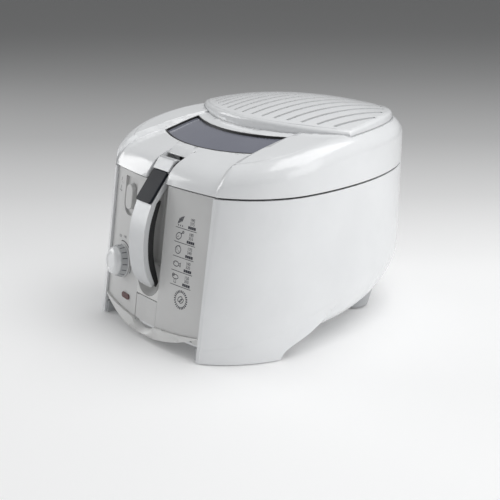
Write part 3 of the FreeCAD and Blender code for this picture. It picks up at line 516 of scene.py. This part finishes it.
# %% [markdown]
# ## Corner beads
# The shell's two front corners end in a slim bead beside the panels. A swept profile would do,
# but the bead is straight, so a rod is enough: a cylinder with softened ends that leans with the
# front. The left bead is modelled, and the right one is a copy with its own mesh, moved across.

# %% Corner beads
BEAD_X = 92.1 * MM
BEAD_RADIUS = 1.1 * MM
BEAD_ROUNDING = 0.7 * MM
BEAD_TOP = Vector((-BEAD_X, -136.2 * MM, 165.4 * MM))
BEAD_FOOT = Vector((-BEAD_X, -160.4 * MM, 4.0 * MM))
SMOOTH_BELOW = math.radians(40.0)


def apply_place(piece):
    bpy.ops.object.transform_apply(location=True, rotation=True, scale=True)
    return piece


def own_copy(piece, name, place):
    bpy.ops.object.select_all(action="DESELECT")
    piece.select_set(True)
    bpy.context.view_layer.objects.active = piece
    bpy.ops.object.duplicate(linked=False)
    twin = bpy.context.object
    twin.name = name
    twin.matrix_world = place
    return apply_place(twin)


def across(distance):
    return Matrix.Translation((distance, 0.0, 0.0))


bead_way = BEAD_TOP - BEAD_FOOT
bpy.ops.object.select_all(action="DESELECT")
bpy.ops.mesh.primitive_cylinder_add(vertices=20, radius=BEAD_RADIUS, depth=bead_way.length)
left_bead = bpy.context.object
left_bead.name = "corner_bead_left"
soften_edges(left_bead, BEAD_ROUNDING, segments=3)
lean = bead_way.to_track_quat("Z", "Y").to_matrix().to_4x4()
left_bead.matrix_world = Matrix.Translation((BEAD_TOP + BEAD_FOOT) / 2) @ lean
apply_place(left_bead)
bpy.ops.object.shade_smooth_by_angle(angle=SMOOTH_BELOW)
right_bead = own_copy(left_bead, "corner_bead_right", across(2 * BEAD_X))
for bead in (left_bead, right_bead):
    dress(bead, white_gloss)
    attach(bead, "base")
    print(bead.name, len(bead.data.polygons), "faces")

# %% [markdown]
# ## Printed marks
# The marks are ink on the panels. An image could be laid on them, but small shapes stay sharp at
# any distance. Each mark is drawn flat and upright in front of the fryer, from ovals, rings, bars
# and numbers, and is later pressed on the curved panel. Pictures and numbers are plain ones.
#
# An oval is a filled circle that is stretched and turned before it is stood up. A ring is an oval
# with its middle inset and deleted.

# %% Ovals and rings
DRAWING_Y = -0.30
UPRIGHT = math.radians(90.0)


def stand_up(mark, x, z):
    mark.location = (x * MM, DRAWING_Y, z * MM)
    mark.rotation_euler = (UPRIGHT, 0.0, 0.0)
    return apply_place(mark)


def stretch(mark, size_x, size_z, turn):
    mark.scale = (size_x * MM, size_z * MM, 1.0)
    mark.rotation_euler = (0.0, 0.0, math.radians(turn))
    return apply_place(mark)


def flat_oval(x, z, half_x, half_z, turn=0.0):
    bpy.ops.object.select_all(action="DESELECT")
    bpy.ops.mesh.primitive_circle_add(vertices=40, radius=1.0, fill_type="NGON")
    oval = stretch(bpy.context.object, half_x, half_z, turn)
    return stand_up(oval, x, z)


def flat_ring(x, z, half_x, half_z, line=0.75, turn=0.0):
    ring = flat_oval(x, z, half_x, half_z, turn)
    bpy.ops.object.mode_set(mode="EDIT")
    bpy.ops.mesh.select_all(action="SELECT")
    bpy.ops.mesh.inset(thickness=line * MM)
    bpy.ops.mesh.delete(type="FACE")
    bpy.ops.object.mode_set(mode="OBJECT")
    return ring


print("marks are drawn", abs(DRAWING_Y), "m in front of the middle")

# %% [markdown]
# A bar is a plane that is stretched and turned. It is subdivided, because a long bar with only
# four corners would cut into the curved panel. A number is typed as text and becomes a mesh
# before it is stood up.

# %% Bars and numbers
BAR_CUTS = 4


def flat_bar(x, z, length, height, turn=0.0):
    bpy.ops.object.select_all(action="DESELECT")
    bpy.ops.mesh.primitive_plane_add(size=1.0)
    bar = stretch(bpy.context.object, length, height, turn)
    bpy.ops.object.mode_set(mode="EDIT")
    bpy.ops.mesh.select_all(action="SELECT")
    bpy.ops.mesh.subdivide(number_cuts=BAR_CUTS)
    bpy.ops.object.mode_set(mode="OBJECT")
    return stand_up(bar, x, z)


def flat_number(text, x, z, size):
    bpy.ops.object.select_all(action="DESELECT")
    bpy.ops.object.text_add()
    number = bpy.context.object
    number.data.body = text
    number.data.size = size * MM
    number.data.align_x = "CENTER"
    number.data.align_y = "CENTER"
    bpy.ops.object.convert(target="MESH")
    return stand_up(bpy.context.object, x, z)


print("a bar has", (BAR_CUTS + 1) ** 2, "faces")

# %% [markdown]
# Printing is one step: the marks of a panel are joined, and a shrinkwrap moves the whole drawing
# straight back on the panel, a tenth of a millimetre proud, so that the ink lies on top.

# %% Press a drawing on its panel
INK_PROUD = 0.1 * MM


def join_pieces(pieces, name):
    bpy.ops.object.select_all(action="DESELECT")
    for piece in pieces:
        piece.select_set(True)
    bpy.context.view_layer.objects.active = pieces[0]
    bpy.ops.object.join()
    joined = bpy.context.object
    joined.name = name
    return joined


def press_on(marks, name, panel):
    drawing = join_pieces(marks, name)
    press = drawing.modifiers.new("press", "SHRINKWRAP")
    press.target = nodes[panel]
    press.wrap_method = "PROJECT"
    press.use_project_y = True
    press.use_positive_direction = True
    press.use_negative_direction = False
    press.offset = INK_PROUD
    bpy.ops.object.modifier_apply(modifier="press")
    dress(drawing, ink)
    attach(drawing, BODY_OF[panel])
    print(name, "has", len(drawing.data.polygons), "faces")
    return drawing


print("ink stands", INK_PROUD / MM, "mm proud")

# %% [markdown]
# The right panel is a cooking guide with five small pictures of food: sticks, a drumstick, a
# potato, a fish and a mushroom. Each is a handful of rings and bars about its own middle, in
# millimetres, since more would be lost at this size.

# %% Pictures of food


def sticks(x, z):
    slant = 68.0
    marks = [flat_bar(x + step, z + 1.2 + 0.5 * step, 6.5, 1.1, slant) for step in (-2.8, -0.9, 1.0, 2.9)]
    return marks + [flat_bar(x + step, z - 4.6, 1.3, 1.3) for step in (-3.0, 0.0, 3.0)]


def drumstick(x, z):
    slant = 35.0
    return [
        flat_ring(x - 1.0, z - 0.8, 4.6, 3.5, turn=slant),
        flat_bar(x + 3.2, z + 2.6, 3.4, 1.0, slant),
        flat_ring(x + 5.2, z + 4.2, 1.4, 1.4),
        flat_bar(x - 2.2, z - 1.6, 2.6, 0.5, slant),
    ]


def potato(x, z):
    return [
        flat_ring(x, z, 4.6, 4.2, turn=20.0),
        flat_bar(x - 1.8, z + 0.8, 0.6, 3.4, 10.0),
        flat_bar(x + 2.0, z + 3.9, 2.8, 0.5, -30.0),
        flat_oval(x + 1.4, z - 1.2, 0.5, 0.5),
    ]


def fish(x, z):
    return [
        flat_ring(x - 0.8, z, 4.6, 2.9),
        flat_bar(x + 4.8, z + 1.3, 3.2, 0.6, 40.0),
        flat_bar(x + 4.8, z - 1.3, 3.2, 0.6, -40.0),
        flat_bar(x + 5.9, z, 0.6, 4.4),
        flat_oval(x - 3.2, z + 0.6, 0.5, 0.5),
    ]


def mushroom(x, z):
    return [
        flat_ring(x, z + 1.4, 4.8, 2.6),
        flat_bar(x - 1.4, z - 2.6, 0.5, 4.2, -6.0),
        flat_bar(x + 1.4, z - 2.6, 0.5, 4.2, 6.0),
        flat_bar(x, z - 4.6, 3.2, 0.5),
        flat_ring(x - 3.0, z + 3.0, 2.0, 1.6),
    ]


PICTURES = (sticks, drumstick, potato, fish, mushroom)
print("pictures:", [picture.__name__ for picture in PICTURES])

# %% [markdown]
# Each row of the guide has a picture, two temperatures, a row of blocks and a rule below. All
# rows follow from the height of the first and one pitch, so the guide can be moved as a whole.
# Below the rows is a round sign: a wreath of short bars with two leaning rings in it.

# %% Cooking guide
ROW_TOP_Z = 135.4
ROW_PITCH = 14.6
PICTURE_X = 44.5
NUMBER_X = 61.5
NUMBER_SIZE = 4.4
ROW_NUMBERS = [("190", "375"), ("180", "355"), ("170", "340"), ("160", "320"), ("150", "300")]
SIGN_X = 56.0
SIGN_Z = 57.0
WREATH_RADIUS = 8.6
WREATH_COUNT = 24


def guide_row(picture, numbers, z):
    upper, lower = numbers
    row = picture(PICTURE_X, z)
    row.append(flat_number(upper, NUMBER_X, z + 3.6, NUMBER_SIZE))
    row.append(flat_number(lower, NUMBER_X, z - 0.2, NUMBER_SIZE))
    row += [flat_bar(NUMBER_X + step, z - 4.2, 2.5, 2.8) for step in (-4.2, -1.4, 1.4, 4.2)]
    row.append(flat_bar(PICTURE_X + 8.5, z - 7.0, 31.0, 0.6))
    return row


def wreath_bar(count):
    turn = 360.0 * count / WREATH_COUNT
    x = SIGN_X + WREATH_RADIUS * math.cos(math.radians(turn))
    z = SIGN_Z + WREATH_RADIUS * math.sin(math.radians(turn))
    return flat_bar(x, z, 2.6, 1.3, turn)


marks = []
for row, picture in enumerate(PICTURES):
    marks += guide_row(picture, ROW_NUMBERS[row], ROW_TOP_Z - ROW_PITCH * row)
marks += [wreath_bar(count) for count in range(WREATH_COUNT)]
marks.append(flat_ring(SIGN_X - 1.0, SIGN_Z + 0.5, 4.0, 2.6, 0.8, 40.0))
marks.append(flat_ring(SIGN_X + 1.4, SIGN_Z - 0.9, 3.6, 2.2, 0.8, 40.0))
guide_print = press_on(marks, "guide_print", "guide_panel")

# %% [markdown]
# The left panel has a sign for opening the lid, an arc beside the knob and two numbers. The arc
# could be drawn point by point; it is quicker to cut the left and lower parts off a ring. The
# knob's place comes from its joint in the frame, so the arc follows the knob.

# %% Control marks
KNOB_JOINT = next(joint for joint in behaviour["joints"] if joint["name"] == "knob_turn")
KNOB_SEAT = Vector(KNOB_JOINT["pos_m"])
KNOB_AXIS = Vector(KNOB_JOINT["axis"])
KNOB_X = KNOB_SEAT.x / MM
KNOB_Z = KNOB_SEAT.z / MM
ARC_RADIUS = 22.0
ARC_CUTS = ((Vector((1, 0, 0)), -6.0), (Vector((0, 0, 1)), -9.0))
SCALE_NUMBER_SIZE = 4.2
LID_SIGN_X = -77.0
LID_SIGN_Z = 148.0


def flat_arc(x, z, radius, line):
    arc = flat_ring(x, z, radius, radius, line)
    middle = Vector((x * MM, DRAWING_Y, z * MM))
    bpy.ops.object.mode_set(mode="EDIT")
    for way, cut in ARC_CUTS:
        bpy.ops.mesh.select_all(action="SELECT")
        bpy.ops.mesh.bisect(plane_co=middle + way * cut * MM, plane_no=way, clear_inner=True)
    bpy.ops.object.mode_set(mode="OBJECT")
    return arc


def lid_sign(x, z):
    return [
        flat_bar(x + 0.5, z + 6.5, 5.0, 0.5, 62.0),
        flat_bar(x + 2.4, z + 2.6, 3.6, 0.5, -50.0),
        flat_bar(x - 0.4, z - 3.2, 5.2, 0.6, 75.0),
        flat_bar(x - 2.6, z - 6.2, 3.0, 0.6),
        flat_bar(x + 1.0, z - 6.6, 1.4, 1.4),
    ]


marks = [
    flat_arc(KNOB_X, KNOB_Z, ARC_RADIUS, 1.2),
    flat_number("150", KNOB_X - 10.0, KNOB_Z + 25.0, SCALE_NUMBER_SIZE),
    flat_number("190", KNOB_X + 2.0, KNOB_Z + 26.5, SCALE_NUMBER_SIZE),
]
marks += lid_sign(LID_SIGN_X, LID_SIGN_Z)
control_print = press_on(marks, "control_print", "control_panel")

# %% [markdown]
# ## Ticks on the knob
# The grey band of the knob carries short dark ticks. They could be inlaid in the CAD model, but
# they are only paint. One tick is modelled: a thin plate that lies on the band's cone, with soft
# edges. The others are copies with their own mesh, turned about the knob's axis and then joined.

# %% Knob ticks
TICK_COUNT = 16
TICK_SIZE = (0.3 * MM, 0.8 * MM, 5.2 * MM)
TICK_ROUNDING = 0.1 * MM
TICK_RADIUS = 17.15 * MM
TICK_LEVEL = 4.7 * MM
CONE_LEAN = math.radians(-14.0)

bpy.ops.object.select_all(action="DESELECT")
bpy.ops.mesh.primitive_cube_add(size=1.0)
first_tick = bpy.context.object
first_tick.scale = TICK_SIZE
first_tick.rotation_euler = (0.0, CONE_LEAN, 0.0)
first_tick.location = (TICK_RADIUS, 0.0, TICK_LEVEL)
apply_place(first_tick)
soften_edges(first_tick, TICK_ROUNDING, segments=1)

knob_turns = [Matrix.Rotation(2.0 * math.pi * count / TICK_COUNT, 4, "Z") for count in range(TICK_COUNT)]
ticks = [first_tick]
ticks += [own_copy(first_tick, "knob_tick", turn) for turn in knob_turns[1:]]
knob_ticks = join_pieces(ticks, "knob_ticks")
knob_face = KNOB_AXIS.to_track_quat("Z", "Y").to_matrix().to_4x4()
knob_ticks.matrix_world = Matrix.Translation(KNOB_SEAT) @ knob_face
apply_place(knob_ticks)
dress(knob_ticks, ink)
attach(knob_ticks, "knob")
print("ticks:", TICK_COUNT, "with", len(knob_ticks.data.polygons), "faces")

# %% [markdown]
# ## Soft blocks
# Two kinds of small plain pieces follow, a saddle and the ends of the rim. Both are a cube at its
# size with soft edges, so one helper makes them. It sizes the cube before the bevel, because a
# bevel on a stretched cube would be stretched too.

# %% Soft block helper


def soft_block(name, size, rounding, segments):
    bpy.ops.object.select_all(action="DESELECT")
    bpy.ops.mesh.primitive_cube_add(size=1.0)
    block = bpy.context.object
    block.name = name
    block.scale = size
    apply_place(block)
    soften_edges(block, rounding, segments)
    return block


print("soft blocks are made by", soft_block.__name__)

# %% [markdown]
# ## Saddle of the handle
# Behind the handle's head the lid dips in a small sloped saddle. Sculpting the lid would give a
# smoother dip, but the lid is a CAD piece that stays as it is. So the saddle is a thin soft
# block, tilted to meet the lid's top, and it moves with the lid.

# %% Saddle
SADDLE_SIZE = (35.4 * MM, 12.0 * MM, 1.8 * MM)
SADDLE_ROUNDING = 0.7 * MM
SADDLE_AT = (0.0, -112.7 * MM, 193.5 * MM)
SADDLE_TILT = math.radians(34.0)

saddle = soft_block("handle_saddle", SADDLE_SIZE, SADDLE_ROUNDING, segments=4)
saddle.location = SADDLE_AT
saddle.rotation_euler = (SADDLE_TILT, 0.0, 0.0)
apply_place(saddle)
bpy.ops.object.shade_smooth_by_angle(angle=SMOOTH_BELOW)
dress(saddle, white_gloss)
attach(saddle, "lid")
print("saddle:", len(saddle.data.polygons), "faces")

# %% [markdown]
# ## Heel feet
# The two rear feet flare up into the rounded heel of the shell. A lathe profile would do; since
# the flare is straight, a cone with a soft lower edge is enough, and its upper part is hidden
# in the shell. The left foot is modelled, and the right one is a copy with its own mesh.

# %% Heel feet
HEEL_X = 66.0 * MM
HEEL_Y = 75.0 * MM
HEEL_LOW = 1.6 * MM
HEEL_DEPTH = 34.0 * MM
HEEL_LOW_RADIUS = 17.5 * MM
HEEL_TOP_RADIUS = 27.0 * MM
HEEL_ROUNDING = 1.5 * MM
HEEL_EDGE_FROM = 40.0

bpy.ops.object.select_all(action="DESELECT")
bpy.ops.mesh.primitive_cone_add(
    vertices=48,
    radius1=HEEL_LOW_RADIUS,
    radius2=HEEL_TOP_RADIUS,
    depth=HEEL_DEPTH,
    location=(-HEEL_X, HEEL_Y, HEEL_LOW + HEEL_DEPTH / 2),
)
left_heel = bpy.context.object
left_heel.name = "heel_foot_left"
apply_place(left_heel)
soften_edges(left_heel, HEEL_ROUNDING, segments=3, edge_from=HEEL_EDGE_FROM)
bpy.ops.object.shade_smooth_by_angle(angle=SMOOTH_BELOW)
right_heel = own_copy(left_heel, "heel_foot_right", across(2 * HEEL_X))
for heel in (left_heel, right_heel):
    dress(heel, band_grey)
    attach(heel, "base")
    print(heel.name, len(heel.data.polygons), "faces")

# %% [markdown]
# ## Ends of the rim
# Where the rim runs out beside the legs, a small block closes the corner behind it. The rim itself
# could be drawn longer, but it would then cut the leg. So the left end is a soft block, and the
# right one is a copy with its own mesh.

# %% Rim ends
END_SIZE = (17.0 * MM, 4.0 * MM, 11.0 * MM)
END_ROUNDING = 0.8 * MM
END_X = 82.0 * MM
END_AT = (-END_X, -154.6 * MM, 20.6 * MM)

left_end = soft_block("rim_end_left", END_SIZE, END_ROUNDING, segments=3)
left_end.location = END_AT
apply_place(left_end)
right_end = own_copy(left_end, "rim_end_right", across(2 * END_X))
for end in (left_end, right_end):
    dress(end, rim_satin)
    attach(end, "base")
    print(end.name, len(end.data.polygons), "faces")

# %% [markdown]
# ## Floor
# The fryer stands on a white studio floor, and the shade far behind it is painted on as grey,
# where the light falls off. A backdrop could be a second, upright sheet. One flat floor has no
# bend to hide: its painted shade runs along the view, and a weak painted glow of its own keeps
# the near part white.

# %% Studio floor
FLOOR_SIZE = 16.0
FLOOR_REACH = 3.0
# Painted shade: the floor's colour runs from white near the fryer to grey far behind it.
FLOOR_SHADE_STEPS = [(0.0, 0.90), (0.06, 0.86), (0.16, 0.66), (0.31, 0.46), (0.6, 0.31), (1.0, 0.24)]
# Painted light: the floor glows a little, though it is no lamp.
FLOOR_GLOW = 0.07
FLOOR_ROUGHNESS = 0.6
FLOOR_SHEEN = 0.2


def grey_steps(ramp, steps):
    elements = ramp.color_ramp.elements
    for position, _ in steps[1:-1]:
        elements.new(position)
    for element, (position, grey) in zip(elements, steps):
        element.position = position
        element.color = (grey, grey, grey, 1.0)


def floor_material():
    material, tree, shader = new_material("studio_floor")
    view_way = LOOK_AT - CAMERA_AT
    place = tree.nodes.new("ShaderNodeTexCoord")
    along = tree.nodes.new("ShaderNodeVectorMath")
    along.operation = "DOT_PRODUCT"
    along.inputs[1].default_value = Vector((view_way.x, view_way.y, 0.0)).normalized() / FLOOR_REACH
    ramp = tree.nodes.new("ShaderNodeValToRGB")
    ramp.color_ramp.interpolation = "B_SPLINE"
    # The ramp paints the floor's shade into its colour.
    grey_steps(ramp, FLOOR_SHADE_STEPS)
    tree.links.new(place.outputs["Object"], along.inputs[0])
    tree.links.new(along.outputs["Value"], ramp.inputs["Fac"])
    tree.links.new(ramp.outputs["Color"], shader.inputs["Base Color"])
    # The same painted shade also colours the floor's painted glow.
    tree.links.new(ramp.outputs["Color"], shader.inputs["Emission Color"])
    shader.inputs["Emission Strength"].default_value = FLOOR_GLOW
    shader.inputs["Roughness"].default_value = FLOOR_ROUGHNESS
    shader.inputs["Specular IOR Level"].default_value = FLOOR_SHEEN
    return material


bpy.ops.object.select_all(action="DESELECT")
bpy.ops.mesh.primitive_plane_add(size=FLOOR_SIZE, location=(0, 0, 0))
floor = bpy.context.object
floor.name = "studio_floor"
dress(floor, floor_material())
print("floor:", FLOOR_SIZE, "m wide, grey from", FLOOR_REACH, "m behind the fryer")

# %% [markdown]
# ## Light
# A wide soft light hangs above to the right, a second one stands at the right side, and a weaker
# one fills from the left, so that the front stays a little darker than the side. An even grey
# world fills the shadows. Point lamps would give hard spots on the gloss, so all are areas.

# %% World and lights
WORLD_COLOUR = (0.80, 0.81, 0.82, 1.0)
WORLD_STRENGTH = 0.40
LIGHT_TARGET = Vector((0.0, 0.0, 0.1))

world = bpy.data.worlds.new("studio_world")
bpy.context.scene.world = world
world.use_nodes = True
backdrop = world.node_tree.nodes["Background"]
backdrop.inputs["Color"].default_value = WORLD_COLOUR
backdrop.inputs["Strength"].default_value = WORLD_STRENGTH


def soft_light(name, place, size, power):
    bpy.ops.object.select_all(action="DESELECT")
    bpy.ops.object.light_add(type="AREA", location=place)
    light = bpy.context.object
    light.name = name
    light.data.size = size
    light.data.energy = power
    turn_towards(light, Vector(place), LIGHT_TARGET)
    print(name, power, "W")


soft_light("top_light", place=(0.5, 0.6, 2.0), size=1.8, power=28.0)
soft_light("side_light", place=(1.9, 0.5, 0.9), size=1.4, power=10.8)
soft_light("left_light", place=(-1.9, -1.0, 0.7), size=1.2, power=14.0)
bpy.context.scene.view_settings.view_transform = "Standard"
